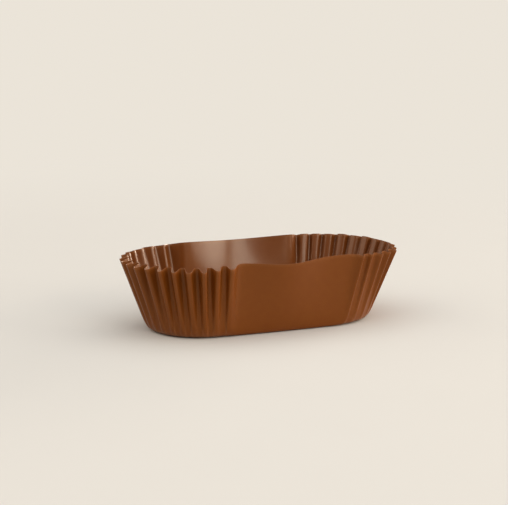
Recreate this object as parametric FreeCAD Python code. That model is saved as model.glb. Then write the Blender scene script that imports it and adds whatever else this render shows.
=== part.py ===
"""Eclair liner: an oblong baking case pressed from one sheet of greaseproof paper.

A flat floor with round ends turns up, over a rounded heel, into a wall that leans outwards.
The ends of the wall are gathered into pleats, which fade out at the heel, and the middle of
each long side is a plain panel that bulges a little. The case is one solid, the sheet itself.

Frame: the origin is on the ground under the middle of the case, +X runs along its length
and +Z is up. Places along the rim are given by `run`, the distance in millimetres along the
line of the outward folds, counter-clockwise from the middle of the near side (-Y). `inset`
is how far a point of the rim lies inside that line.
"""
import FreeCAD, Part
import math
import os

# ---- the sheet ----
paper = 0.15                    # thickness, level through the wall and upright through the floor

# ---- floor: two half circles joined by straight sides, measured at the sharp heel corner ----
floor_half_straight = 27.1      # from the floor's middle to the centre of a round end
floor_end_radius = 22.8
floor_shift = -0.8              # the floor's middle, from the middle of the rim along +X
axis_shift = -0.77              # the long axis of the floor and the pleats, from the case's middle

# ---- wall ----
flare = 9.7                     # the outward folds stand this far outside the floor at the rim
end_flare = 2.2                 # and this much further at the ends
ridge_height = 30.05            # rim height at an outward fold
inset_rise = 0.26               # paper that stands in by 1 reaches this much higher: it is steeper

# ---- pleats: depth, width of the outward fold's rounded crest, width of the inward fold's ----
near_left_pleat = (4.8, 1.8, 2.8)
near_right_pleat = (2.0, 0.8, 3.2)
far_right_pleat = (2.6, 0.9, 3.4)
far_left_pleat = (2.4, 1.2, 1.1)
pleat_pitch = 6.5               # wished for; a whole number of pleats is fitted to each end
left_crowding = 0.04            # how much closer the left end's pleats get towards the near side
near_right_inset = 3.0          # the first outward fold of the right end stands this much less proud
right_ease = 3                  # number of pleats over which that inset fades out

# ---- where the pleats stop, as runs round each end past the long side's straight part ----
near_left_stop = 2.2
near_right_stop = 12.4
far_right_stop = 1.5
far_left_stop = 1.1

# ---- plain panel of the near side, edged by a smaller pleat on each side ----
left_edge_pleat = 6.5           # width of the small pleat
right_edge_pleat = 5.1
left_edge_size = (3.4, 1.8, 2.4)    # of the left one, in the same order as a pleat's sizes
left_edge_slant = 0.6           # its inward fold lies this far past its middle
left_pleat_inset = 1.1          # the outward fold before the left one stands this much less proud
left_edge_inset = 1.6           # and so does the outward fold that edges the panel
right_edge_inset = 3.2
right_edge_lean = 2.5           # the foot of the panel's right edge falls this much behind its top
right_lean_reach = 14.0         # run on either side of that edge over which the lean fades out
near_left_turn = 4.2            # from the panel's edge to the corner where its curve begins
near_right_turn = 2.6
near_panel_inset = 6.5          # of the ends of that curve
near_bow = 4.6                  # how far the panel bulges outwards
near_bow_middle = 1.0           # the run of the bulge's middle, from the middle of the long side
near_bow_reach = 22.0           # from the middle of the bulge to where it ends
near_bow_fullness = 0.0         # 0 for a bulge with soft ends, 1 for a round one

# ---- plain panel of the far side ----
far_right_turn = 3.2
far_left_turn = 4.0
far_panel_inset = 6.0
far_bow = 6.6
far_bow_middle = -1.0
far_bow_reach = 26.0
far_bow_fullness = 0.5

# ---- the lines that carry a panel's curve ----
panel_step = 6.0                # wished for, like the pitch of the pleats
panel_round = 20.0              # more than half a step, so a panel's curve has no straight runs
panel_left_round = 1.4          # rounding of the panels' left ends, which turn more sharply

# ---- heel, the bend from the floor into the wall ----
end_heel = 3.0                  # from the sharp corner to where the bend ends, below the pleats
panel_heel = 1.0                # the same below a plain panel
heel_change = 8.0               # run over which one heel turns into the other

# ---- smallest values that count as something ----
least_turn = 1e-9               # sine of the turn between two normals
least_flank = 1e-6              # run of a flat flank

# ---- worked out from the values above ----
rim_half_straight = floor_half_straight + end_flare
rim_end_radius = floor_end_radius + flare
rim_length = 4 * rim_half_straight + 2 * math.pi * rim_end_radius
far_middle = rim_length / 2
near_pleats_left = -rim_half_straight - near_left_stop
near_pleats_right = rim_half_straight + near_right_stop
near_edge_left = near_pleats_left + left_edge_pleat
near_edge_right = near_pleats_right - right_edge_pleat
far_edge_right = far_middle - rim_half_straight - far_right_stop
far_edge_left = far_middle + rim_half_straight + far_left_stop
UP = FreeCAD.Vector(0, 0, 1)


def oblong_point(run, half_straight, radius):
    """Point and outward normal at a run along the rim, on an oblong of the given size.

    A run always counts along the rim's own oblong. On any other oblong the same share
    of the straight side, or the same angle round the end, is taken.
    """
    run = run % rim_length
    quarter = rim_half_straight
    half_turn = math.pi * rim_end_radius
    side = 1
    if run > quarter + half_turn + quarter:
        run -= far_middle
        side = -1
    if run <= quarter:
        share = run / rim_half_straight
        normal = FreeCAD.Vector(0, -1, 0)
        point = FreeCAD.Vector(share * half_straight, -radius, 0)
    elif run <= quarter + half_turn:
        angle = (run - quarter) / rim_end_radius - math.pi / 2
        normal = FreeCAD.Vector(math.cos(angle), math.sin(angle), 0)
        point = FreeCAD.Vector(half_straight, 0, 0) + normal * radius
    else:
        share = (far_middle - run) / rim_half_straight
        normal = FreeCAD.Vector(0, 1, 0)
        point = FreeCAD.Vector(share * half_straight, radius, 0)
    return point * side, normal * side


def foot_run(run):
    """Run of the foot of an upright; uprights lean near the right edge of the near panel."""
    share = min(abs(run - near_edge_right) / right_lean_reach, 1.0)
    return run - right_edge_lean * math.cos(math.pi * share / 2) ** 2


def floor_point(run):
    """Point of the sharp corner between floor and wall, and its outward normal."""
    point, normal = oblong_point(foot_run(run), floor_half_straight, floor_end_radius)
    return point + FreeCAD.Vector(floor_shift, axis_shift, 0), normal


def rim_point(run, inset):
    """Point of the rim."""
    point, normal = oblong_point(run, rim_half_straight, rim_end_radius)
    height = ridge_height + inset_rise * inset
    return point - normal * inset + FreeCAD.Vector(0, axis_shift, height)


def fold(run, inset, width):
    """The two corners of a fold's rounded crest, whose arcs meet in its middle."""
    return [(run - width / 2, inset, width / 2), (run + width / 2, inset, width / 2)]


def pleat_corners(start, end, first_pleat, last_pleat, crowding=0.0, first_inset=0.0,
                  last_inset=0.0):
    """Corners of a stretch of pleats, from the outward fold at start to the one at end.

    The sizes of a pleat change evenly from those of the first one to those of the last one.
    """
    folds = 2 * max(1, round((end - start) / pleat_pitch))
    corners = []
    for i in range(folds + 1):
        share = i / folds
        run = start + (end - start) * (share + crowding * share * (1 - share))
        depth, ridge_width, fold_width = [first + (last - first) * share
                                          for first, last in zip(first_pleat, last_pleat)]
        inset = first_inset * max(0.0, 1 - i / (2 * right_ease))
        if i == folds:
            inset += last_inset
        if i % 2 == 0:
            corners += fold(run, inset, ridge_width)
        else:
            corners += fold(run, inset + depth, fold_width)
    return corners


def edge_pleat(pleats_end, edge, pleats_inset, edge_inset, pleat, slant=0.0):
    """Corners of the pleat between a stretch of pleats and a panel's edge, but for its far end."""
    depth, ridge_width, fold_width = pleat
    inward = fold((pleats_end + edge) / 2 + slant, (pleats_inset + edge_inset) / 2 + depth,
                  fold_width)
    outward = fold(edge, edge_inset, ridge_width)
    return inward + outward if pleats_end < edge else outward + inward


def panel_corners(start, end, start_rounding, end_rounding, inset, bow, bow_middle, bow_reach,
                  fullness):
    """Corners that carry a plain panel's curve from start to end, whose roundings are given."""
    count = max(2, round((end - start) / panel_step))
    step = (end - start) / count
    corners = [(start, inset, start_rounding)]
    for i in range(1, count):
        run = start + i * step
        share = min(abs(run - bow_middle) / bow_reach, 1.0)
        bulge = bow * math.cos(math.pi * share / 2) ** (2 - fullness)
        corners.append((run, inset - bulge, panel_round))
    corners.append((end, inset, end_rounding))
    return corners


def outline_corners():
    """All corners of the rim, counter-clockwise from the inward fold left of the near panel.

    A corner is its run, its inset and how far down its flanks its rounding begins.
    """
    near_panel = panel_corners(near_edge_left + near_left_turn, near_edge_right - near_right_turn,
                               panel_left_round, panel_round, near_panel_inset, near_bow,
                               near_bow_middle, near_bow_reach, near_bow_fullness)
    far_panel = panel_corners(far_edge_right + far_right_turn, far_edge_left - far_left_turn,
                              panel_round, panel_left_round, far_panel_inset, far_bow,
                              far_middle + far_bow_middle, far_bow_reach, far_bow_fullness)
    return (edge_pleat(near_pleats_left, near_edge_left, left_pleat_inset, left_edge_inset,
                       left_edge_size, left_edge_slant)
            + near_panel
            + edge_pleat(near_pleats_right, near_edge_right, near_right_inset, right_edge_inset,
                         near_right_pleat)
            + pleat_corners(near_pleats_right, far_edge_right, near_right_pleat, far_right_pleat,
                            first_inset=near_right_inset)
            + far_panel
            + pleat_corners(far_edge_left, near_pleats_left + rim_length, far_left_pleat,
                            near_left_pleat, crowding=left_crowding,
                            last_inset=left_pleat_inset))


def heel_setback(run):
    """Distance from the sharp heel corner to the ends of its bend, at a run."""
    run = run % rim_length
    panels = [(near_edge_left, near_edge_right),
              (near_edge_left + rim_length, near_edge_right + rim_length),
              (far_edge_right, far_edge_left)]
    inside = max(min(run - start, end - run) for start, end in panels)
    share = min(max(inside / heel_change, 0.0), 1.0)
    return end_heel + (panel_heel - end_heel) * share * share * (3 - 2 * share)


def level_normal(start, end):
    """Outward level normal of a rim edge that is travelled counter-clockwise."""
    return (end - start).cross(UP).normalize()


def mitre(normal_a, normal_b):
    """Vector that offsets the corner between two edges when each edge moves by 1."""
    return (normal_a + normal_b) / (1 + normal_a.dot(normal_b))


def half_turn_cosine(normal_a, normal_b):
    """Weight that makes a corner's rounding a circular arc."""
    return math.sqrt(max(0.0, (1 + normal_a.dot(normal_b)) / 2))


class Strip:
    """One upright strip of the wall: a rounded corner, or the flat flank between two.

    Each line of the strip has a start, a control point and an end. The floor line, the
    sharp heel corner and the rim are kept for the middle of the sheet, with the vectors
    that move them out to a skin of the sheet.
    """

    def __init__(self, rim, rim_offsets, rim_weight, start_run, end_run):
        self.rim = rim
        self.rim_offsets = rim_offsets
        self.rim_weight = rim_weight
        start, start_normal = floor_point(start_run)
        end, end_normal = floor_point(end_run)
        turn_weight = half_turn_cosine(start_normal, end_normal)
        self.heel_offsets = [start_normal, mitre(start_normal, end_normal), end_normal]
        self.heel = [start, tangent_corner(start, start_normal, end, end_normal), end]
        self.heel_weight = turn_weight
        middle_run = (start_run + end_run) / 2
        self.setbacks = [heel_setback(run) for run in (start_run, middle_run, end_run)]

    def lines(self, side):
        """Floor line, sharp heel, top of the heel and rim, on one skin.

        side is +1 for the outer skin and -1 for the inner one.
        """
        lift = UP * (paper if side < 0 else 0.0)
        floor, heel, top, rim = [], [], [], []
        for i in range(3):
            corner = self.heel[i] + self.heel_offsets[i] * (side * paper / 2) + lift
            edge = self.rim[i] + self.rim_offsets[i] * (side * paper / 2)
            rise = edge - corner
            floor.append(self.heel[i] - self.heel_offsets[i] * self.setbacks[i] + lift)
            heel.append(corner)
            top.append(corner + rise * (self.setbacks[i] / rise.Length))
            rim.append(edge)
        share = self.setbacks[1] / (self.rim[1] - self.heel[1]).Length
        top_weight = self.heel_weight + (self.rim_weight - self.heel_weight) * share
        return [(floor, self.heel_weight), (heel, self.heel_weight),
                (top, top_weight), (rim, self.rim_weight)]


def tangent_corner(start, start_normal, end, end_normal):
    """Where the tangents at two points of an oblong meet, or their middle on a straight."""
    turn = start_normal.cross(end_normal).z
    if abs(turn) < least_turn:
        return (start + end) / 2
    start_tangent = UP.cross(start_normal)
    end_tangent = UP.cross(end_normal)
    distance = (end - start).cross(end_tangent).z / start_tangent.cross(end_tangent).z
    return start + start_tangent * distance


def build_strips():
    """Cut the wall into strips: one for each corner of the rim and one for each flank."""
    corners = outline_corners()
    count = len(corners)
    runs = [corner[0] for corner in corners]
    rounds = [corner[2] for corner in corners]
    points = [rim_point(run, inset) for run, inset, rounding in corners]
    normals, leaving, arriving = [], [], []
    for i in range(count):
        j = (i + 1) % count
        edge = points[j] - points[i]
        reach = edge.Length
        next_run = runs[j] + (rim_length if j == 0 else 0.0)
        normals.append(level_normal(points[i], points[j]))
        share_out = min(rounds[i] / reach, 0.5)
        share_in = 1 - min(rounds[j] / reach, 0.5)
        leaving.append((points[i] + edge * share_out,
                        runs[i] + (next_run - runs[i]) * share_out))
        arriving.append((points[i] + edge * share_in,
                         runs[i] + (next_run - runs[i]) * share_in))
    strips = []
    for i in range(count):
        before, after = normals[i - 1], normals[i]
        start, start_run = arriving[i - 1]
        if i == 0:
            start_run -= rim_length
        end, end_run = leaving[i]
        strips.append(Strip([start, points[i], end], [before, mitre(before, after), after],
                            half_turn_cosine(before, after), start_run, end_run))
        flank_end, flank_end_run = arriving[i]
        if flank_end_run - end_run > least_flank:
            strips.append(Strip([end, (end + flank_end) / 2, flank_end],
                                [after, after, after], 1.0, end_run, flank_end_run))
    return strips


def patch(*lines):
    """Face through two lines, or through three of which the middle one is a control line."""
    surface = Part.BSplineSurface()
    poles = [[points[i] for points, weight in lines] for i in range(3)]
    weights = [[(1.0, weight, 1.0)[i] for points, weight in lines] for i in range(3)]
    degree = len(lines) - 1
    ends = degree + 1
    surface.buildFromPolesMultsKnots(poles, [3, 3], [ends, ends], [0.0, 1.0], [0.0, 1.0],
                                     False, False, 2, degree, weights)
    return surface.toShape()


def line_edge(points, weight):
    """Edge along one line of a strip."""
    curve = Part.BSplineCurve()
    curve.buildFromPolesMultsKnots(points, [3, 3], [0.0, 1.0], False, 2, [1.0, weight, 1.0])
    return curve.toShape()


def build_liner():
    """The sheet: outer and inner wall and heel, the cut edge of the rim, and both floors."""
    faces = []
    outer_floor, inner_floor = [], []
    for strip in build_strips():
        outer = strip.lines(+1)
        inner = strip.lines(-1)
        for floor, heel, top, rim in (outer, inner):
            faces.append(patch(floor, heel, top))
            faces.append(patch(top, rim))
        faces.append(patch(outer[3], inner[3]))
        outer_floor.append(line_edge(*outer[0]))
        inner_floor.append(line_edge(*inner[0]))
    faces.append(Part.Face(Part.Wire(outer_floor)))
    faces.append(Part.Face(Part.Wire(inner_floor)))
    shell = Part.Shell(faces)
    shell.sewShape()
    liner = Part.Solid(shell)
    if liner.Volume < 0:
        liner.reverse()
    return liner


os.makedirs("parts", exist_ok=True)
paper_liner = build_liner()
paper_liner.exportStep("parts/paper_liner.step")
print("solids", len(paper_liner.Solids), "valid", paper_liner.isValid(), "volume", paper_liner.Volume)
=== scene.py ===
"""Eclair liner: an oblong pleated baking case, pressed from one sheet of brown greaseproof paper.

Lengths are metres. +X runs along the case, -Y is its near side and +Z is up. The ground is
at height 0. Places along the rim are given by `run`, the distance along the line of the
outward folds, counter-clockwise from the middle of the near side. `inset` is how far a
point of the rim lies inside that line.
"""
import math
import random

import bmesh
import bpy
from bpy.props import FloatProperty, FloatVectorProperty, IntProperty, PointerProperty
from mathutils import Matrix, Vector


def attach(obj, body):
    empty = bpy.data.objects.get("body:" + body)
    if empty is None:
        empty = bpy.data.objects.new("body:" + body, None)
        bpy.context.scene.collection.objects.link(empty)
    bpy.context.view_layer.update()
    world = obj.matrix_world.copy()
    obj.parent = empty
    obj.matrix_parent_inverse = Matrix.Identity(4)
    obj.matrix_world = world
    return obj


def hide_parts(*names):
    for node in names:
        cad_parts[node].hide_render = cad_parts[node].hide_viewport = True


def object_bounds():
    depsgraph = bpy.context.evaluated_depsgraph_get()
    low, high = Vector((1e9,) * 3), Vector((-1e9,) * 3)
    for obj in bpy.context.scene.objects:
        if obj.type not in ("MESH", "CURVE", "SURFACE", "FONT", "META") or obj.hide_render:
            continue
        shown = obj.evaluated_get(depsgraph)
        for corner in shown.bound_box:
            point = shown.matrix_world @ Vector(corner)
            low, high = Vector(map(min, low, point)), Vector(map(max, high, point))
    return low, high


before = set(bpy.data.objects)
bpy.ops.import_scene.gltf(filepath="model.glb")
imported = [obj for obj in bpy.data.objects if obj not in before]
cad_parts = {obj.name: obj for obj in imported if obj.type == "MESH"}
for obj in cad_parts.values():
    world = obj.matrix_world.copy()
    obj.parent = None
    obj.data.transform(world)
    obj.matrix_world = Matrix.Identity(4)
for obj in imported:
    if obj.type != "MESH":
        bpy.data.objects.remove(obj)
CAD_LOW, CAD_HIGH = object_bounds()

bl_info = {
    "name": "Eclair Liner",
    "version": (1, 0, 0),
    "blender": (4, 5, 0),
    "location": "3D View > Sidebar > Eclair Liner",
    "description": "Models an oblong pleated baking case of brown greaseproof paper",
    "category": "Object",
}

MM = 0.001
CAD_NODE = "paper_liner"

# ---- unevenness of the folds, as shares of the unevenness ----
OUTWARD_STRAY = 0.3             # a fold strays less outwards than inwards
LIFT_STRAY = 0.6                # and less in height

# ---- building the mesh ----
FLAT = 0.01 * MM                # what lies lower than this lies in the plane of the floor
FIRST_RADIUS = 30 * MM          # radius of the ring before its vertices go to their places
FIRST_RISE = 10 * MM            # and height of the wall before its tops go to theirs
RISER = 5 * MM                  # an edge that rises by more than this is one of its uprights
TALL_RISER = 12 * MM            # and by more than this, once the heel is bent
ROW_CUTS = 4                    # rows of vertices between heel and rim
ROUNDING_LEVELS = 2             # times that every face is cut in four to round the folds
HEEL_SEGMENTS = 2
HEEL_PROFILE = 0.6              # 0.5 is a circle's, and more is sharper
FLOOR_RIM = 6 * MM              # how far the sheet runs in under the wall at first
FLOOR_RINGS = (0.7, 0.5)        # width of each ring of the floor, as a share of the one before
END_SHRINK = 0.4                # a ring's length shrinks by this share of what its width does
WAVE_START = 2 * MM             # height at which the soft waves start
WAVE_FADE = 10 * MM             # and how much higher they are at their full height
WAVE_SIZE = 14 * MM
FIT = 0.02                      # the sheet may be stretched by this share to fit the frame
TIGHT_BEND = 1500.0             # bend of a sharp crease, in radians per metre
SHARP_ANGLE = math.radians(50)  # edges that bend by more than this are shaded sharp

# ---- stage ----
# a lamp: azimuth and elevation of its middle and the width and height it seems to have, in degrees
FRONT_LAMP = (16, 22, 24, 16)
RIGHT_LAMP = (57, 17, 30, 22)
SIDE_LAMP = (104, 8, 50, 16)
LEFT_LAMP = (-105, 32, 85, 36)
TOP_LAMP = (30, 80, 100, 100)
LAMP_DISTANCE = 2.5
WHITE = (1.0, 1.0, 1.0)
GROUND_RADIUS = 9.0
GRAIN_SIZE = 50 * MM            # size of the faint patches in the ground
GRAIN_TONE = 0.985              # brightness of the darker patches


# ------------------------------------------------------------------------------- settings

def length(name, description, default_mm, **more):
    """A length property whose default is given in millimetres."""
    return FloatProperty(name=name, description=description, default=default_mm * MM,
                         unit="LENGTH", precision=5, **more)


def pleat_size(name, *sizes_mm):
    """Sizes of one pleat, given in millimetres."""
    return FloatVectorProperty(
        name=name, description="Depth of the pleat, width of the rounded crest of its outward "
        "fold and width of that of its inward fold", default=[size * MM for size in sizes_mm],
        size=3, unit="LENGTH", precision=5)


class LinerSizes(bpy.types.PropertyGroup):
    """Sizes of the case, to the middle of the sheet."""

    paper: length("Paper", "Thickness of the sheet", 0.15, min=0.00005)
    floor_half_straight: length(
        "Floor half straight", "From the middle to the centre of the floor's round end", 27.1)
    floor_end_radius: length("Floor end radius", "Radius of the floor's round ends", 22.8)
    floor_shift: length(
        "Floor shift", "How far the floor sits to the right of the rim's middle", -0.8)
    axis_shift: length(
        "Axis shift", "How far the pleats' long axis lies off the middle of the case", -0.77)
    flare: length("Flare", "How far the outward folds stand outside the floor at the rim", 9.7)
    end_flare: length("End flare", "How much further they stand out at the two ends", 2.2)
    ridge_height: length("Ridge height", "Height of the rim at an outward fold", 30.05)
    inset_rise: FloatProperty(
        name="Inset rise", description="Extra height of the rim for each length that it stands in",
        default=0.26)
    pleat_pitch: length("Pleat pitch", "Distance between pleats at the rim", 6.5, min=0.001)
    left_crowding: FloatProperty(
        name="Left crowding", description="How much closer the left pleats get, near side last",
        default=0.04, min=-0.5, max=0.5)
    near_left_pleat: pleat_size("Near left pleat", 4.8, 1.8, 2.8)
    near_right_pleat: pleat_size("Near right pleat", 2.0, 0.8, 3.2)
    far_right_pleat: pleat_size("Far right pleat", 2.6, 0.9, 3.4)
    far_left_pleat: pleat_size("Far left pleat", 2.4, 1.2, 1.1)
    near_right_inset: length(
        "Near right inset", "How much less the first near right pleat stands proud", 3.0)
    right_ease: IntProperty(
        name="Right ease", description="Number of pleats over which that inset fades out",
        default=3, min=1)
    near_left_stop: length(
        "Near left stop", "Run past the near side's left corner at which pleats end", 2.2)
    near_right_stop: length(
        "Near right stop", "Run past the near side's right corner at which pleats end", 12.4)
    far_right_stop: length(
        "Far right stop", "Run past the far side's right corner at which pleats end", 1.5)
    far_left_stop: length(
        "Far left stop", "Run past the far side's left corner at which pleats end", 1.1)
    left_edge_pleat: length(
        "Left edge pleat", "Width of the small pleat left of the near panel", 6.5)
    right_edge_pleat: length(
        "Right edge pleat", "Width of the small pleat right of the near panel", 5.1)
    left_edge_size: pleat_size("Left edge size", 3.4, 1.8, 2.4)
    left_edge_slant: length(
        "Left edge slant", "How far that pleat's inward fold lies past its middle", 0.6)
    left_pleat_inset: length(
        "Left pleat inset", "How much less the outward fold before that pleat stands proud", 1.1)
    left_edge_inset: length(
        "Left edge inset", "How much less the near panel's left edge stands proud", 1.6)
    right_edge_inset: length(
        "Right edge inset", "How much less the near panel's right edge stands proud", 3.2)
    right_edge_lean: length(
        "Right edge lean", "How far the foot of the near panel's right edge falls behind", 2.5)
    right_lean_reach: length(
        "Right lean reach", "Run on either side of that edge over which the lean fades out", 14.0)
    near_left_turn: length(
        "Near left turn", "Run from the near panel's left edge to its first upright", 4.2)
    near_right_turn: length(
        "Near right turn", "Run from the near panel's right edge to its last upright", 2.6)
    near_panel_inset: length("Near panel inset", "Inset of the near panel's ends", 6.5)
    near_bow: length("Near bow", "How far the near panel bulges outwards", 4.6)
    near_bow_middle: length("Near bow middle", "Run of the near bulge's middle", 1.0)
    near_bow_reach: length("Near bow reach", "Half length of the near bulge", 22.0)
    far_right_turn: length(
        "Far right turn", "Run from the far panel's right edge to its first upright", 3.2)
    far_left_turn: length(
        "Far left turn", "Run from the far panel's left edge to its last upright", 4.0)
    far_panel_inset: length("Far panel inset", "Inset of the far panel's ends", 6.0)
    far_bow: length("Far bow", "How far the far panel bulges outwards", 6.6)
    far_bow_middle: length("Far bow middle", "Run of the far bulge's middle, off centre", -1.0)
    far_bow_reach: length("Far bow reach", "Half length of the far bulge", 26.0)
    near_bow_fullness: FloatProperty(
        name="Near bow fullness", description="0 for a bulge with soft ends, 1 for a round one",
        default=0.0, min=0.0, max=1.0)
    far_bow_fullness: FloatProperty(
        name="Far bow fullness", description="The same for the far bulge",
        default=0.5, min=0.0, max=1.0)
    panel_step: length("Panel step", "Distance between the lines that carry a panel", 6.0)
    end_heel: length("End heel", "Size of the bend from floor to wall under the pleats", 3.0)
    panel_heel: length("Panel heel", "Size of that bend under a plain panel", 1.0)
    heel_change: length("Heel change", "Run over which one bend turns into the other", 8.0)
    unevenness: length("Unevenness", "How far a fold strays from its even place", 0.3)
    width_change: FloatProperty(
        name="Width change", description="How much a fold's width strays, as a share of it",
        default=0.12, min=0.0, max=0.9)
    waviness: length("Waviness", "Height of the soft waves in the pressed sheet", 0.12)
    seed: IntProperty(name="Seed", description="Picks the unevenness of the pleats",
                      default=11, min=0)


class PaperFinish(bpy.types.PropertyGroup):
    """Colour and surface of the greaseproof paper."""

    colour: FloatVectorProperty(
        name="Colour", description="Main colour of the dyed paper", subtype="COLOR",
        size=3, min=0.0, max=1.0, default=(0.176, 0.0465, 0.0046))
    dark: FloatVectorProperty(
        name="Dark", description="Colour where the dye lies thick", subtype="COLOR",
        size=3, min=0.0, max=1.0, default=(0.164, 0.041, 0.0038))
    # lighter colour along tight creases: partly worn fibres, partly a painted highlight that stands
    # in for the glint on the folds' crests
    worn_and_highlit: FloatVectorProperty(
        name="Worn", description="Colour along a crease, where the fibres break", subtype="COLOR",
        size=3, min=0.0, max=1.0, default=(0.27, 0.10, 0.035))
    roughness: FloatProperty(
        name="Roughness", description="Roughness of the plain paper", default=0.42,
        min=0.0, max=1.0, subtype="FACTOR")
    gloss: FloatProperty(
        name="Gloss", description="Strength of the plain paper's reflections", default=0.26,
        min=0.0, max=1.0, subtype="FACTOR")
    gloss_colour: FloatVectorProperty(
        name="Gloss colour", description="Tint of the plain paper's reflections",
        subtype="COLOR", size=3, min=0.0, max=1.0, default=(1.0, 0.84, 0.58))
    glaze: FloatProperty(
        name="Glaze", description="Strength of the glaze on the case's inside", default=0.85,
        min=0.0, max=1.0, subtype="FACTOR")
    outer_glaze: FloatProperty(
        name="Outer glaze", description="Strength of the glaze on its outside", default=0.05,
        min=0.0, max=1.0, subtype="FACTOR")
    glaze_roughness: FloatProperty(
        name="Glaze roughness", description="Roughness of the glaze", default=0.25,
        min=0.0, max=1.0, subtype="FACTOR")
    cloud_size: length("Cloud size", "Size of the cloudy patches in the pulp", 3.2)
    cloud_share: FloatProperty(
        name="Cloud share", description="How much of the change in tone the patches make; "
        "the fibres make the rest", default=0.55, min=0.0, max=1.0, subtype="FACTOR")
    fibre_size: length("Fibre size", "Size of the fibres that show in the face", 0.35)
    fibre_stretch: FloatProperty(
        name="Fibre stretch", description="Width of the fibres, as a share of their upright length",
        default=0.35, min=0.05, max=1.0)
    # share of that crease colour that shows, which is partly wear and partly a painted highlight
    wear_and_highlight: FloatProperty(
        name="Wear", description="How much of the worn colour shows along a crease", default=0.7,
        min=0.0, max=1.0, subtype="FACTOR")
    roughness_change: FloatProperty(
        name="Roughness change", description="How much patches and fibres change the roughness",
        default=0.06, min=0.0, max=1.0)
    glaze_change: FloatProperty(
        name="Glaze change", description="How much the patches change the glaze", default=0.3,
        min=0.0, max=1.0)
    relief: length("Relief", "Height of the fibres in the face", 0.04)


class StageSettings(bpy.types.PropertyGroup):
    """Ground, lamps and camera."""

    ground_colour: FloatVectorProperty(
        name="Ground", description="Colour of the pale ground", subtype="COLOR",
        size=3, min=0.0, max=1.0, default=(0.64, 0.62, 0.585))
    backdrop_colour: FloatVectorProperty(
        name="Backdrop", description="Colour that the ground and the space far off show as",
        subtype="COLOR", size=3, min=0.0, max=1.0, default=(0.83, 0.775, 0.69))
    backdrop_start: length(
        "Backdrop start", "Distance from the case at which the lit ground begins to fade", 140.0)
    backdrop_end: length(
        "Backdrop end", "Distance at which only the backdrop's colour is left", 500.0)
    lamp_colour: FloatVectorProperty(
        name="Lamps", description="Colour of all lamps but the top one", subtype="COLOR",
        size=3, min=0.0, max=1.0, default=(1.0, 0.88, 0.72))
    front_level: FloatProperty(
        name="Front lamp", description="Brightness of the front lamp's face", default=5.5, min=0.0)
    right_level: FloatProperty(
        name="Right lamp", description="Brightness of the right lamp's face", default=5.5, min=0.0)
    side_level: FloatProperty(
        name="Side lamp", description="Brightness of the side lamp's face", default=12.0, min=0.0)
    left_level: FloatProperty(
        name="Left lamp", description="Brightness of the left lamp's face", default=1.35, min=0.0)
    top_level: FloatProperty(
        name="Top lamp", description="Brightness of the top lamp's face", default=1.15, min=0.0)
    sky_level: FloatProperty(name="Sky level", description="Strength of the light from all round",
                             default=0.14, min=0.0)
    camera_azimuth: FloatProperty(
        name="Azimuth", description="Where the camera stands round the case, from the near side",
        default=math.radians(-22.62), unit="ROTATION")
    camera_elevation: FloatProperty(
        name="Elevation", description="How far the camera stands above the ground's plane",
        default=math.radians(13.56), unit="ROTATION")
    camera_distance: length("Distance", "From the camera to the middle of the floor", 693.0)
    lens: FloatProperty(name="Lens", description="Focal length of the camera in millimetres",
                        default=113.2, min=1.0)
    aim_right: length("Aim right", "How far right of the floor's middle the camera aims", -2.6)
    aim_up: length("Aim up", "How far above the floor's middle the camera aims", 29.33)


# ------------------------------------------------------------------------ shape of the wall

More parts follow.
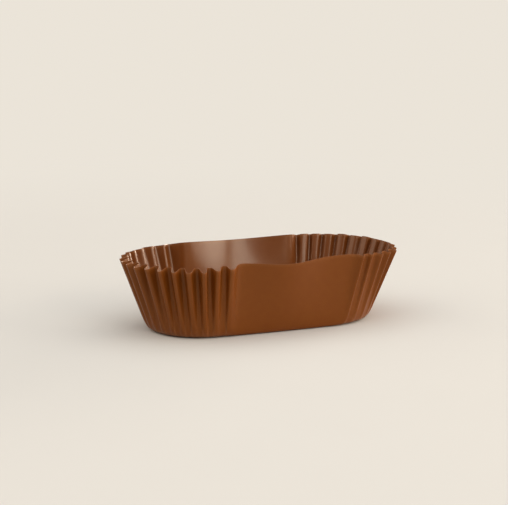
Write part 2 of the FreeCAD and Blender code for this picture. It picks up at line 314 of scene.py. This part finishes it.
class Outline:
    """Places along the wall, worked out from the sizes."""

    def __init__(self, sizes):
        self.sizes = sizes
        self.stray = random.Random(sizes.seed)
        self.half_straight = sizes.floor_half_straight + sizes.end_flare
        self.radius = sizes.floor_end_radius + sizes.flare
        self.length = 4 * self.half_straight + 2 * math.pi * self.radius
        far = self.length / 2
        self.pleats_left = -self.half_straight - sizes.near_left_stop
        self.pleats_right = self.half_straight + sizes.near_right_stop
        self.near_edges = (self.pleats_left + sizes.left_edge_pleat,
                           self.pleats_right - sizes.right_edge_pleat)
        self.far_edges = (far - self.half_straight - sizes.far_right_stop,
                          far + self.half_straight + sizes.far_left_stop)

    def oblong_point(self, run, half_straight, radius):
        """Point at a run and its outward normal, on an oblong of the given size."""
        run = run % self.length
        straight = self.half_straight
        half_turn = math.pi * self.radius
        side = 1
        if run > 2 * straight + half_turn:
            run -= self.length / 2
            side = -1
        if run <= straight:
            normal = Vector((0, -1, 0))
            point = Vector((run / straight * half_straight, -radius, 0))
        elif run <= straight + half_turn:
            angle = (run - straight) / self.radius - math.pi / 2
            normal = Vector((math.cos(angle), math.sin(angle), 0))
            point = Vector((half_straight, 0, 0)) + normal * radius
        else:
            share = (self.length / 2 - run) / straight
            normal = Vector((0, 1, 0))
            point = Vector((share * half_straight, radius, 0))
        return point * side, normal * side

    def foot_run(self, run):
        """Run of an upright's foot; uprights lean near the right edge of the near panel."""
        share = min(abs(run - self.near_edges[1]) / self.sizes.right_lean_reach, 1.0)
        return run - self.sizes.right_edge_lean * math.cos(math.pi * share / 2) ** 2

    def floor_point(self, run):
        """Point of the sharp corner between floor and wall."""
        sizes = self.sizes
        point = self.oblong_point(self.foot_run(run), sizes.floor_half_straight,
                                  sizes.floor_end_radius)[0]
        return point + Vector((sizes.floor_shift, sizes.axis_shift, 0))

    def rim_point(self, run, inset, lift):
        """Point of the rim. Paper that stands further in stands steeper and reaches higher."""
        point, normal = self.oblong_point(run, self.half_straight, self.radius)
        height = self.sizes.ridge_height + self.sizes.inset_rise * inset + lift
        return point - normal * inset + Vector((0, self.sizes.axis_shift, height))

    def heel_size(self, run):
        """Size of the bend from the floor into the wall at a run."""
        run = run % self.length
        panels = [self.near_edges, self.far_edges,
                  tuple(edge + self.length for edge in self.near_edges)]
        inside = max(min(run - start, end - run) for start, end in panels)
        share = min(max(inside / self.sizes.heel_change, 0.0), 1.0)
        change = share * share * (3 - 2 * share)
        return self.sizes.end_heel + (self.sizes.panel_heel - self.sizes.end_heel) * change

    def fold(self, run, inset, width):
        """The two corners of a fold's crest, which stray together from their even place."""
        slip = self.sizes.unevenness
        run += self.stray.uniform(-1, 1) * slip
        inset += self.stray.uniform(-OUTWARD_STRAY, 1) * slip
        lift = self.stray.uniform(-LIFT_STRAY, LIFT_STRAY) * slip
        width *= 1 + self.stray.uniform(-1, 1) * self.sizes.width_change
        return [(run + side * width / 2, inset, lift, True) for side in (-1, 1)]

    def pleats(self, start, end, first_size, last_size, crowding=0.0, first_inset=0.0,
               last_inset=0.0):
        """Corners of a stretch of pleats, from the outward fold at start to that at end.

        The size of a pleat changes evenly from the first one's to the last one's.
        """
        folds = 2 * max(1, round((end - start) / self.sizes.pleat_pitch))
        corners = []
        for i in range(folds + 1):
            share = i / folds
            run = start + (end - start) * (share + crowding * share * (1 - share))
            depth, ridge_width, fold_width = [first + (last - first) * share for first, last
                                              in zip(first_size, last_size)]
            inset = first_inset * max(0.0, 1 - i / (2 * self.sizes.right_ease))
            if i == folds:
                inset += last_inset
            if i % 2 == 0:
                corners += self.fold(run, inset, ridge_width)
            else:
                corners += self.fold(run, inset + depth, fold_width)
        return corners

    def edge_pleat(self, pleats_end, edge, edge_inset, pleats_inset, size, slant=0.0):
        """Corners of the pleat between a panel's edge and the pleats, but for its far end."""
        depth, ridge_width, fold_width = size
        inward = self.fold((pleats_end + edge) / 2 + slant, (edge_inset + pleats_inset) / 2 + depth,
                           fold_width)
        outward = self.fold(edge, edge_inset, ridge_width)
        return inward + outward if pleats_end < edge else outward + inward

    def panel(self, first, last, inset, bow, bow_middle, bow_reach, fullness):
        """Corners of a plain panel, from its first to its last, which are given."""
        start, end = first[0], last[0]
        count = max(2, round((end - start) / self.sizes.panel_step))
        corners = [first]
        for i in range(1, count):
            run = start + i * (end - start) / count
            off_middle = min(abs(run - bow_middle) / bow_reach, 1.0)
            bulge = bow * math.cos(math.pi * off_middle / 2) ** (2 - fullness)
            corners.append((run, inset - bulge, 0.0, False))
        corners.append(last)
        return corners

    def corners(self):
        """All corners of the rim, counter-clockwise from left of the near panel.

        A corner is its run, its inset, its lift above its even height and whether the sheet
        folds there.
        """
        sizes = self.sizes
        left, right = self.near_edges
        far_right, far_left = self.far_edges
        near = self.panel((left + sizes.near_left_turn, sizes.near_panel_inset, 0.0, True),
                          (right - sizes.near_right_turn, sizes.near_panel_inset, 0.0, False),
                          sizes.near_panel_inset, sizes.near_bow, sizes.near_bow_middle,
                          sizes.near_bow_reach, sizes.near_bow_fullness)
        far = self.panel((far_right + sizes.far_right_turn, sizes.far_panel_inset, 0.0, False),
                         (far_left - sizes.far_left_turn, sizes.far_panel_inset, 0.0, True),
                         sizes.far_panel_inset, sizes.far_bow,
                         self.length / 2 + sizes.far_bow_middle, sizes.far_bow_reach,
                         sizes.far_bow_fullness)
        return (self.edge_pleat(self.pleats_left, left, sizes.left_edge_inset,
                                sizes.left_pleat_inset, sizes.left_edge_size,
                                sizes.left_edge_slant)
                + near
                + self.edge_pleat(self.pleats_right, right, sizes.right_edge_inset,
                                  sizes.near_right_inset, sizes.near_right_pleat)
                + self.pleats(self.pleats_right, far_right, sizes.near_right_pleat,
                              sizes.far_right_pleat, first_inset=sizes.near_right_inset)
                + far
                + self.pleats(far_left, self.pleats_left + self.length, sizes.far_left_pleat,
                              sizes.near_left_pleat, crowding=sizes.left_crowding,
                              last_inset=sizes.left_pleat_inset))

    def uprights(self):
        """(foot, top) of every upright line that the sheet is drawn through.

        They are the corners and the middles of the flats beside folds.
        """
        corners = self.corners()
        places = []
        for here, after in zip(corners, corners[1:] + corners[:1]):
            run, inset, lift, on_fold = here
            places.append((run, inset, lift))
            if on_fold and after[3]:
                away = (after[0] - run) % self.length
                places.append((run + away / 2, (inset + after[1]) / 2, (lift + after[2]) / 2))
        return [(self.floor_point(run), self.rim_point(run, inset, lift))
                for run, inset, lift in places]


# ------------------------------------------------------------------------- modelling helpers

def deselect_objects():
    """Nothing is selected afterwards: operators act on all that is."""
    bpy.ops.object.select_all(action="DESELECT")


def select_parts(piece, parts):
    """Leave only these vertices or edges of the mesh in edit mode selected."""
    bpy.ops.mesh.select_all(action="DESELECT")
    for part in parts:
        part.select_set(True)
    bmesh.update_edit_mesh(piece.data, loop_triangles=False, destructive=False)


def move_vertex(piece, vertex, place):
    """Move one vertex to a place."""
    select_parts(piece, [vertex])
    bpy.ops.transform.translate(value=place - vertex.co)


def upright_edges(mesh, height):
    """Edges that rise by at least this height."""
    return [edge for edge in mesh.edges
            if abs(edge.verts[0].co.z - edge.verts[1].co.z) > height]


def flat_edges(mesh):
    """Edges that lie in the plane of the floor."""
    return [edge for edge in mesh.edges
            if all(vertex.co.z < FLAT for vertex in edge.verts)]


def apply_modifiers(piece):
    """Apply every modifier of the piece, first to last."""
    for name in [modifier.name for modifier in piece.modifiers]:
        bpy.ops.object.modifier_apply(modifier=name)


# --------------------------------------------------------------------------- node expressions

class Wire:
    """An output of a shader node that Python's arithmetic works on."""

    def __init__(self, nodes, socket):
        self.nodes = nodes
        self.socket = socket

    def __add__(self, other):
        return self.nodes.maths("ADD", self, other)

    def __sub__(self, other):
        return self.nodes.maths("SUBTRACT", self, other)

    def __rsub__(self, other):
        return self.nodes.maths("SUBTRACT", other, self)

    def __mul__(self, other):
        return self.nodes.maths("MULTIPLY", self, other)

    __radd__ = __add__
    __rmul__ = __mul__


class Nodes:
    """Adds shader nodes to a material or a world."""

    def __init__(self, tree):
        self.tree = tree

    def add(self, kind, settings=None, inputs=None, output=0):
        """One node: its settings come first, because they change its sockets."""
        node = self.tree.nodes.new(kind)
        for name, value in (settings or {}).items():
            if name == "stops":
                self.set_stops(node.color_ramp.elements, value)
            else:
                setattr(node, name, value)
        for key, value in (inputs or {}).items():
            if isinstance(value, Wire):
                self.tree.links.new(value.socket, node.inputs[key])
            else:
                node.inputs[key].default_value = value
        return Wire(self, node.outputs[output]) if node.outputs else None

    def set_stops(self, elements, stops):
        """Positions and colours of a ramp."""
        while len(elements) < len(stops):
            elements.new(1.0)
        for element, (position, colour) in zip(elements, stops):
            element.position = position
            element.color = colour

    def maths(self, operation, a, b):
        """A Math node."""
        return self.add("ShaderNodeMath", {"operation": operation}, {0: a, 1: b})

    def noise(self, place, size, detail, roughness=0.5):
        """Noise whose patches are about this size."""
        return self.add("ShaderNodeTexNoise", {"noise_dimensions": "3D"},
                        {"Vector": place, "Scale": 1.0 / size, "Detail": detail,
                         "Roughness": roughness})

    def spread(self, value, low, high):
        """0 up to low, 1 from high on, and smooth in between."""
        return self.add("ShaderNodeMapRange", {"interpolation_type": "SMOOTHSTEP"},
                        {"Value": value, "From Min": low, "From Max": high})

    def blend(self, share, a, b):
        """Colour a where the share is 0, and b where it is 1."""
        return self.add("ShaderNodeMix", {"data_type": "RGBA"},
                        {0: share, 6: a, 7: b}, output=2)


def new_material(name):
    """An empty node material and its nodes."""
    material = bpy.data.materials.new(name)
    material.use_nodes = True
    material.node_tree.nodes.clear()
    return material, Nodes(material.node_tree)


# ------------------------------------------------------------------------------ the paper

def paper_material(finish):
    """Brown greaseproof paper: cloudy dye, fine fibres, a satin glaze and lighter creases, which
    are partly wear and partly a painted highlight.
    """
    material, nodes = new_material("brown_greaseproof_paper")
    place = nodes.add("ShaderNodeTexCoord", output="Object")
    crease = nodes.add("ShaderNodeAttribute", {"attribute_name": "crease"}, output="Fac")
    clouds = nodes.noise(place, finish.cloud_size, 4.0)
    stretched = nodes.add("ShaderNodeMapping", None,
                          {"Vector": place, "Scale": (1.0, 1.0, finish.fibre_stretch)})
    fibres = nodes.noise(stretched, finish.fibre_size, 3.0, 0.65)
    specks = nodes.noise(place, finish.fibre_size * 0.4, 2.0)

    # a noise mostly keeps between 0.3 and 0.7, so that range is spread over 0 to 1
    tone = (nodes.spread(clouds, 0.32, 0.72) * finish.cloud_share
            + nodes.spread(fibres, 0.3, 0.7) * (1 - finish.cloud_share))
    colour = nodes.blend(tone, (*finish.dark, 1), (*finish.colour, 1))
    # lighter along tight creases: partly worn fibres, partly a painted highlight on the folds'
    # crests
    worn_and_highlit = crease * nodes.spread(fibres, 0.1, 0.7) * finish.wear_and_highlight
    colour = nodes.blend(worn_and_highlit, colour, (*finish.worn_and_highlit, 1))
    change = finish.roughness_change
    roughness = finish.roughness + (clouds - 0.5) * change + (fibres - 0.5) * change
    bump = nodes.add("ShaderNodeBump", None,
                     {"Strength": 0.2, "Distance": finish.relief,
                      "Height": fibres * 0.6 + specks * 0.25})
    inside = nodes.add("ShaderNodeAttribute", {"attribute_name": "inside"}, output="Fac")
    glaze = inside * (finish.glaze - finish.outer_glaze) + finish.outer_glaze
    shader = nodes.add("ShaderNodeBsdfPrincipled", None,
                       {"Base Color": colour, "Roughness": roughness, "Normal": bump,
                        "IOR": 1.5, "Specular IOR Level": finish.gloss,
                        "Specular Tint": (*finish.gloss_colour, 1),
                        "Coat Weight": glaze * ((clouds - 0.5) * finish.glaze_change + 1.0),
                        "Coat Roughness": finish.glaze_roughness, "Coat IOR": 1.5})
    nodes.add("ShaderNodeOutputMaterial", None, {"Surface": shader})
    return material


def mark_creases(piece):
    """Attribute that is 1 where the sheet bends tightly and fades out beside it; it places the
    lighter crease colour, which is partly wear and partly a painted highlight.
    """
    mesh = bmesh.new()
    mesh.from_mesh(piece.data)
    bend = []
    for vertex in mesh.verts:
        angles = [edge.calc_face_angle(0.0) / edge.calc_length() for edge in vertex.link_edges]
        bend.append(min(max(angles, default=0.0) / TIGHT_BEND, 1.0) ** 2)
    mesh.free()
    attribute = piece.data.attributes.new("crease", "FLOAT", "POINT")
    attribute.data.foreach_set("value", bend)


class LINER_OT_pleated_sheet(bpy.types.Operator):
    """Model the whole case: one sheet pressed into floor, heel, pleats and plain panels."""

    bl_idname = "liner.pleated_sheet"
    bl_label = "Pleated sheet"

    def execute(self, context):
        sizes = context.scene.liner_sizes
        outline = Outline(sizes)
        piece = self.wall_frame(outline.uprights())
        self.bend_heel(piece, outline)
        self.smooth_folds(piece)
        self.close_floor(piece, sizes)
        self.wave_wall(piece, sizes)
        self.thicken(piece, sizes)
        self.fit_frame(piece)
        mark_creases(piece)
        piece.data.materials.append(paper_material(context.scene.paper_finish))

        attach(piece, "root")
        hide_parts(CAD_NODE)
        return {"FINISHED"}

    def wall_frame(self, uprights):
        """A ring round the floor, drawn up to the rim, with a flat flank between uprights."""
        deselect_objects()
        bpy.ops.mesh.primitive_circle_add(vertices=len(uprights), radius=FIRST_RADIUS,
                                          fill_type="NOTHING", location=(0, 0, 0))
        piece = bpy.context.active_object
        piece.name = piece.data.name = "pleated_sheet"
        bpy.ops.object.mode_set(mode="EDIT")
        mesh = bmesh.from_edit_mesh(piece.data)
        ring = sorted(mesh.verts, key=lambda vertex: math.atan2(vertex.co.y, vertex.co.x))
        for vertex, (foot, _top) in zip(ring, self.from_minus_x(uprights)):
            move_vertex(piece, vertex, foot)
        bpy.ops.mesh.select_all(action="SELECT")
        bpy.ops.mesh.extrude_edges_move(TRANSFORM_OT_translate={"value": (0, 0, FIRST_RISE)})
        mesh = bmesh.from_edit_mesh(piece.data)
        tops = {}
        for edge in upright_edges(mesh, RISER):
            low, high = sorted(edge.verts, key=lambda vertex: vertex.co.z)
            tops[high] = min(uprights, key=lambda upright: (upright[0] - low.co).length)[1]
        for vertex, place in tops.items():
            move_vertex(piece, vertex, place)
        return piece

    def from_minus_x(self, uprights):
        """The uprights in the order of their angle, counter-clockwise from -X, like the ring."""
        return sorted(uprights, key=lambda upright: math.atan2(upright[0].y, upright[0].x))

    def bend_heel(self, piece, outline):
        """Turn the sheet in under the wall and round the corner between them."""
        mesh = bmesh.from_edit_mesh(piece.data)
        select_parts(piece, flat_edges(mesh))
        bpy.ops.mesh.extrude_edges_move(TRANSFORM_OT_translate={"value": (0, 0, 0)})
        sizes = outline.sizes
        half_length = sizes.floor_half_straight + sizes.floor_end_radius
        bpy.ops.transform.resize(value=(1 - FLOOR_RIM / half_length,
                                        1 - FLOOR_RIM / sizes.floor_end_radius, 1),
                                 center_override=(sizes.floor_shift, 0, 0))
        mesh = bmesh.from_edit_mesh(piece.data)
        bevel_weight = mesh.edges.layers.float.new("bevel_weight_edge")
        corner = [edge for edge in flat_edges(mesh)
                  if len(edge.link_faces) == 2
                  and any(face.calc_center_median().z > FLAT for face in edge.link_faces)]
        for edge in corner:
            middle = (edge.verts[0].co + edge.verts[1].co) / 2
            run = self.run_of(outline, middle)
            edge[bevel_weight] = outline.heel_size(run) / sizes.end_heel
        bmesh.update_edit_mesh(piece.data)
        bpy.ops.object.mode_set(mode="OBJECT")
        bpy.ops.object.modifier_add(type="BEVEL")
        heel = piece.modifiers[-1]
        heel.limit_method = "WEIGHT"
        heel.offset_type = "OFFSET"
        heel.width = sizes.end_heel
        heel.segments = HEEL_SEGMENTS
        heel.profile = HEEL_PROFILE
        heel.use_clamp_overlap = False
        apply_modifiers(piece)

    def run_of(self, outline, point):
        """Run whose place on the floor's edge is nearest."""
        steps = 400
        runs = [outline.length * i / steps for i in range(steps)]
        return min(runs, key=lambda run: (outline.floor_point(run) - point).length)

    def smooth_folds(self, piece):
        """Rows of faces up the wall, and all folds rounded."""
        bpy.ops.object.mode_set(mode="EDIT")
        mesh = bmesh.from_edit_mesh(piece.data)
        select_parts(piece, upright_edges(mesh, TALL_RISER))
        bpy.ops.mesh.subdivide(number_cuts=ROW_CUTS)
        bpy.ops.object.mode_set(mode="OBJECT")
        bpy.ops.object.modifier_add(type="SUBSURF")
        rounding = piece.modifiers[-1]
        rounding.levels = rounding.render_levels = ROUNDING_LEVELS
        apply_modifiers(piece)

    def close_floor(self, piece, sizes):
        """Rings across the floor, and its middle."""
        bpy.ops.object.mode_set(mode="EDIT")
        mesh = bmesh.from_edit_mesh(piece.data)
        select_parts(piece, [edge for edge in flat_edges(mesh) if edge.is_boundary])
        for across in FLOOR_RINGS:
            bpy.ops.mesh.extrude_edges_move(TRANSFORM_OT_translate={"value": (0, 0, 0)})
            bpy.ops.transform.resize(value=(1 - (1 - across) * END_SHRINK, across, 1),
                                     center_override=(sizes.floor_shift, 0, 0))
        bpy.ops.mesh.edge_face_add()
        bpy.ops.mesh.select_all(action="SELECT")
        bpy.ops.mesh.remove_doubles(threshold=FLAT / 2)
        bpy.ops.mesh.normals_make_consistent(inside=False)
        bpy.ops.object.mode_set(mode="OBJECT")

    def wave_wall(self, piece, sizes):
        """Soft waves in the wall, as in any pressed sheet."""
        wall = piece.vertex_groups.new(name="wall")
        for vertex in piece.data.vertices:
            share = min(max((vertex.co.z - WAVE_START) / WAVE_FADE, 0.0), 1.0)
            if share > 0:
                wall.add([vertex.index], share, "REPLACE")
        clouds = bpy.data.textures.new("soft_waves", "CLOUDS")
        clouds.noise_scale = WAVE_SIZE
        clouds.noise_depth = 1
        bpy.ops.object.modifier_add(type="DISPLACE")
        waves = piece.modifiers[-1]
        waves.texture = clouds
        waves.texture_coords = "LOCAL"
        waves.strength = sizes.waviness
        waves.mid_level = 0.5
        waves.vertex_group = wall.name

    def thicken(self, piece, sizes):
        """The paper's thickness, to both sides, and the mark of its inside."""
        bpy.ops.object.modifier_add(type="SOLIDIFY")
        sheet = piece.modifiers[-1]
        sheet.thickness = sizes.paper
        sheet.offset = 0.0
        sheet.use_even_offset = True
        sheet.shell_vertex_group = piece.vertex_groups.new(name="inner_sheet").name
        apply_modifiers(piece)
        self.mark_inside(piece)
        piece.vertex_groups.clear()

    def fit_frame(self, piece):
        """Stretch the sheet by a hair, to the box that the frame gives."""
        corners = [Vector(corner) for corner in piece.bound_box]
        low = Vector([min(corner[i] for corner in corners) for i in range(3)])
        high = Vector([max(corner[i] for corner in corners) for i in range(3)])
        stretch = [(CAD_HIGH[i] - CAD_LOW[i]) / (high[i] - low[i]) for i in range(3)]
        if max(abs(value - 1) for value in stretch) > FIT:
            raise RuntimeError(f"the sheet doesn't fit the frame: {stretch}")
        bpy.ops.object.mode_set(mode="EDIT")
        bpy.ops.mesh.select_all(action="SELECT")
        bpy.ops.transform.resize(value=stretch, center_override=low)
        bpy.ops.transform.translate(value=CAD_LOW - low)
        bpy.ops.object.mode_set(mode="OBJECT")
        bpy.ops.object.shade_smooth_by_angle(angle=SHARP_ANGLE)

    def mark_inside(self, piece):
        """Attribute that is 1 on the face of the sheet that the filling touches."""
        group = piece.vertex_groups["inner_sheet"].index
        marks = [float(any(part.group == group for part in vertex.groups))
                 for vertex in piece.data.vertices]
        attribute = piece.data.attributes.new("inside", "FLOAT", "POINT")
        attribute.data.foreach_set("value", marks)


# ------------------------------------------------------------------------------- the stage

def around(azimuth, elevation, distance):
    """Point at a distance from the origin; its azimuth is counter-clockwise from the near side."""
    return Vector((math.sin(azimuth) * math.cos(elevation),
                   -math.cos(azimuth) * math.cos(elevation),
                   math.sin(elevation))) * distance


def turned_to(place, aim):
    """Turn of a lamp or camera that stands at a place and looks at its aim."""
    return (aim - place).to_track_quat("-Z", "Y").to_euler()


def soft_lamp(name, angles, level, colour):
    """A softbox at its four angles, as seen from the case.

    level is the brightness of its face, where 1 shows as white.
    """
    azimuth, elevation, across, up = map(math.radians, angles)
    place = around(azimuth, elevation, LAMP_DISTANCE)
    deselect_objects()
    bpy.ops.object.light_add(type="AREA", location=place,
                             rotation=turned_to(place, Vector((0, 0, 0))))
    lamp = bpy.context.active_object
    lamp.name = name
    lamp.data.shape = "RECTANGLE"
    lamp.data.size = 2 * LAMP_DISTANCE * math.tan(across / 2)
    lamp.data.size_y = 2 * LAMP_DISTANCE * math.tan(up / 2)
    lamp.data.energy = level * math.pi * lamp.data.size * lamp.data.size_y
    lamp.data.color = colour
    lamp.visible_camera = False


class LINER_OT_stage(bpy.types.Operator):
    """Make the pale ground, the soft lamps and the camera."""

    bl_idname = "liner.stage"
    bl_label = "Stage"

    def execute(self, context):
        settings = context.scene.stage_settings
        self.ground(settings)
        self.lamps(settings)
        self.camera(context, settings)
        context.scene.view_settings.view_transform = "Standard"
        return {"FINISHED"}

    def ground(self, settings):
        """A wide pale disc that the case stands on, evenly pale away from it."""
        deselect_objects()
        bpy.ops.mesh.primitive_circle_add(vertices=96, radius=GROUND_RADIUS, fill_type="NGON")
        ground = bpy.context.active_object
        ground.name = "ground"
        material, nodes = new_material("pale_ground")
        place = nodes.add("ShaderNodeTexCoord", output="Object")
        grain = nodes.noise(place, GRAIN_SIZE, 3.0)
        pale = (*settings.ground_colour, 1)
        darker = (*[value * GRAIN_TONE for value in settings.ground_colour], 1)
        lit = nodes.add("ShaderNodeBsdfPrincipled", None,
                        {"Base Color": nodes.blend(grain, darker, pale),
                         "Roughness": 0.85, "IOR": 1.3})
        distance = nodes.add("ShaderNodeVectorMath", {"operation": "LENGTH"}, {0: place},
                             output="Value")
        far_off = nodes.add("ShaderNodeEmission", None,
                            {"Color": (*settings.backdrop_colour, 1)})
        seen = nodes.add("ShaderNodeLightPath", output="Is Camera Ray")
        share = seen * nodes.spread(distance, settings.backdrop_start, settings.backdrop_end)
        mixed = nodes.add("ShaderNodeMixShader", None, {0: share, 1: lit, 2: far_off})
        nodes.add("ShaderNodeOutputMaterial", None, {"Surface": mixed})
        ground.data.materials.append(material)

    def lamps(self, settings):
        """Soft lamps at the front, right, left and top, and light from all round."""
        warm = settings.lamp_colour
        soft_lamp("front_lamp", FRONT_LAMP, settings.front_level, warm)
        soft_lamp("right_lamp", RIGHT_LAMP, settings.right_level, warm)
        soft_lamp("side_lamp", SIDE_LAMP, settings.side_level, warm)
        soft_lamp("left_lamp", LEFT_LAMP, settings.left_level, warm)
        soft_lamp("top_lamp", TOP_LAMP, settings.top_level, WHITE)
        world = bpy.data.worlds.new("sky")
        world.use_nodes = True
        world.node_tree.nodes.clear()
        nodes = Nodes(world.node_tree)
        seen = nodes.add("ShaderNodeLightPath", output="Is Camera Ray")
        light = nodes.add("ShaderNodeBackground", None, {"Strength": settings.sky_level})
        backdrop = nodes.add("ShaderNodeBackground", None,
                             {"Color": (*settings.backdrop_colour, 1)})
        mixed = nodes.add("ShaderNodeMixShader", None, {0: seen, 1: light, 2: backdrop})
        nodes.add("ShaderNodeOutputWorld", None, {"Surface": mixed})
        bpy.context.scene.world = world

    def camera(self, context, settings):
        """A long lens that looks a little down at the case from the near left."""
        place = around(settings.camera_azimuth, settings.camera_elevation,
                       settings.camera_distance)
        right = Vector((math.cos(settings.camera_azimuth), math.sin(settings.camera_azimuth), 0))
        up = right.cross(-place).normalized()
        aim = right * settings.aim_right + up * settings.aim_up
        deselect_objects()
        bpy.ops.object.camera_add(location=place, rotation=turned_to(place, aim))
        camera = bpy.context.active_object
        camera.name = "camera"
        camera.data.sensor_width = 36.0
        camera.data.lens = settings.lens
        camera.data.clip_start = 0.01
        camera.data.clip_end = 50.0
        context.scene.camera = camera


class LINER_PT_panel(bpy.types.Panel):
    """Sidebar panel with the case's steps and sizes."""

    bl_idname = "LINER_PT_panel"
    bl_label = "Eclair Liner"
    bl_space_type = "VIEW_3D"
    bl_region_type = "UI"
    bl_category = "Eclair Liner"

    def draw(self, context):
        for operator in (LINER_OT_pleated_sheet, LINER_OT_stage):
            self.layout.operator(operator.bl_idname)
        for group in ("liner_sizes", "paper_finish", "stage_settings"):
            settings = getattr(context.scene, group)
            box = self.layout.box()
            box.label(text=type(settings).__doc__)
            for name in type(settings).__annotations__:
                box.prop(settings, name)


CLASSES = (LinerSizes, PaperFinish, StageSettings, LINER_OT_pleated_sheet, LINER_OT_stage,
           LINER_PT_panel)


def register():
    """Make the classes and the scene's settings known."""
    for cls in CLASSES:
        bpy.utils.register_class(cls)
    bpy.types.Scene.liner_sizes = PointerProperty(type=LinerSizes)
    bpy.types.Scene.paper_finish = PointerProperty(type=PaperFinish)
    bpy.types.Scene.stage_settings = PointerProperty(type=StageSettings)


def unregister():
    """Take them away again."""
    del bpy.types.Scene.stage_settings
    del bpy.types.Scene.paper_finish
    del bpy.types.Scene.liner_sizes
    for cls in reversed(CLASSES):
        bpy.utils.unregister_class(cls)


def main():
    """Build the case and its stage."""
    register()
    bpy.ops.liner.pleated_sheet()
    bpy.ops.liner.stage()


if __name__ == "__main__":
    main()
